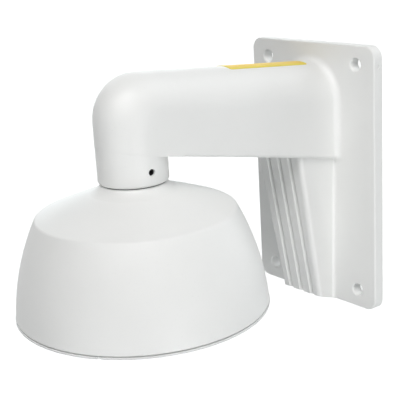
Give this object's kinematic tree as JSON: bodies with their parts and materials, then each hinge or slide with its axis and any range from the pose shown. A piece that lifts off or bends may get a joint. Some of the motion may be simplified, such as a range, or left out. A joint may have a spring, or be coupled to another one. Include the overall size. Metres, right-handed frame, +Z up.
{
  "type": "camera wall bracket",
  "caption": "Cast wall bracket for a dome camera: upright wall plate, hollow arm with a fluted gusset, round neck and a bell-shaped cap with a camera plate in its mouth.",
  "frame": {"origin": "centre of the four wall screw holes on the back face of the wall plate", "axes": "+Z up, +Y into the wall; the arm reaches out along -Y"},
  "size_m": [0.1576, 0.2378, 0.1815],
  "materials": {
    "arm_paint": "fine-textured off-white powder coat on cast aluminium",
    "cap_paint": "fine-textured off-white powder coat on cast aluminium",
    "plate_paint": "off-white powder coat on cast aluminium",
    "seal_rubber": "dark grey closed seal",
    "black_steel": "blackened steel",
    "screw_steel": "plain stainless steel",
    "label_yellow": "plain yellow film, no print"
  },
  "bodies": {
    "root": {"wall_arm": "arm_paint", "cap": "cap_paint", "neck_seal": "seal_rubber", "neck_set_screw": "black_steel", "rim_seal": "seal_rubber", "camera_plate": "plate_paint", "plate_screws": "screw_steel", "arm_label": "label_yellow"}
  },
  "joints": []
}
